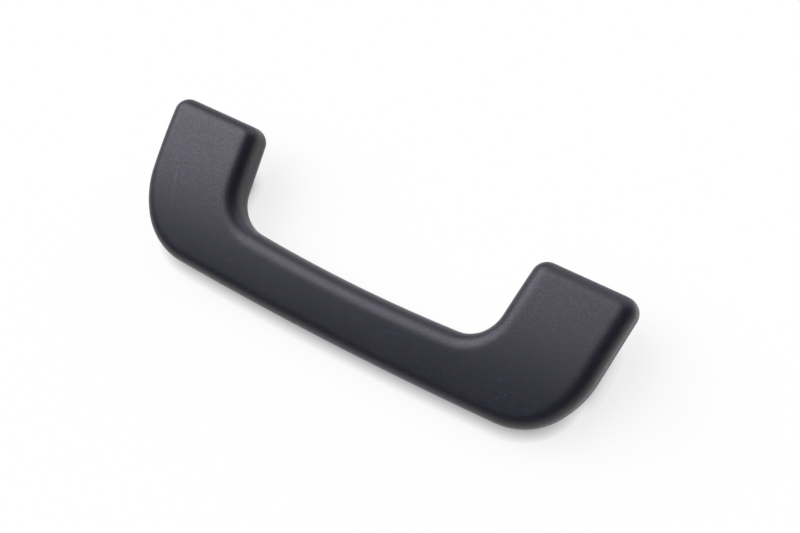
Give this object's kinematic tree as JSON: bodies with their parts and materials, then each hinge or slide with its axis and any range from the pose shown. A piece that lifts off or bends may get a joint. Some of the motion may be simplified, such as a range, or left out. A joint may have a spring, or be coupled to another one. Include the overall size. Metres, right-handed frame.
{
  "type": "roof grab handle",
  "caption": "U-shaped folding roof grab handle: a one-piece moulded grip on spring-returned, damped gooseneck hinge brackets hidden in its end pads.",
  "frame": {"origin": "midway between the axes of the two roof screws, on the plane of the bracket feet", "axes": "+X along the handle, +Y towards the hinge edge of the pads, +Z away from the roof lining into the cabin"},
  "size_m": [0.2376, 0.0708, 0.0339],
  "materials": {
    "handle_plastic": "fine-grained anthracite moulding, matt, lightly scuffed",
    "pressed_steel": "zinc-plated pressing",
    "screw_steel": "yellow passivated screws",
    "pin_steel": "ground steel",
    "buffer_rubber": "soft black rubber",
    "bracket_nylon": "black glass-filled nylon",
    "sleeve_steel": "plain rolled steel",
    "bush_acetal": "natural acetal, smooth",
    "cover_plastic": "same moulding colour as the handle",
    "damper_acetal": "natural acetal, smooth",
    "damper_plastic": "smooth black plastic",
    "spring_steel": "bright spring wire"
  },
  "bodies": {
    "grip": {"grip_moulding": "handle_plastic", "left_hinge_frame": "pressed_steel", "left_outer_frame_screw": "screw_steel", "left_inner_frame_screw": "screw_steel", "left_hinge_pin": "pin_steel", "left_stop_buffer": "buffer_rubber", "right_hinge_frame": "pressed_steel", "right_outer_frame_screw": "screw_steel", "right_inner_frame_screw": "screw_steel", "right_hinge_pin": "pin_steel", "right_stop_buffer": "buffer_rubber", "damper_rotor": "damper_acetal"},
    "mounting": {"left_bracket": "bracket_nylon", "left_clamp_sleeve": "sleeve_steel", "left_outer_bush": "bush_acetal", "left_inner_bush": "bush_acetal", "left_screw_cover": "cover_plastic", "right_bracket": "bracket_nylon", "right_clamp_sleeve": "sleeve_steel", "right_outer_bush": "bush_acetal", "right_inner_bush": "bush_acetal", "right_screw_cover": "cover_plastic", "return_spring": "spring_steel", "spring_mandrel": "bush_acetal", "damper_housing": "damper_plastic", "damper_cap": "damper_plastic", "damper_seal": "buffer_rubber"}
  },
  "joints": [
    {"name": "grip_fold", "type": "hinge", "parent": "mounting", "child": "grip", "pos_m": [0, 0.022, 0.01691], "axis": [-1, 0, 0], "range_deg": [0, 90], "stiffness_Nm_per_rad": 0.15, "springref_deg": -68.75, "deforming": ["return_spring"]}
  ]
}
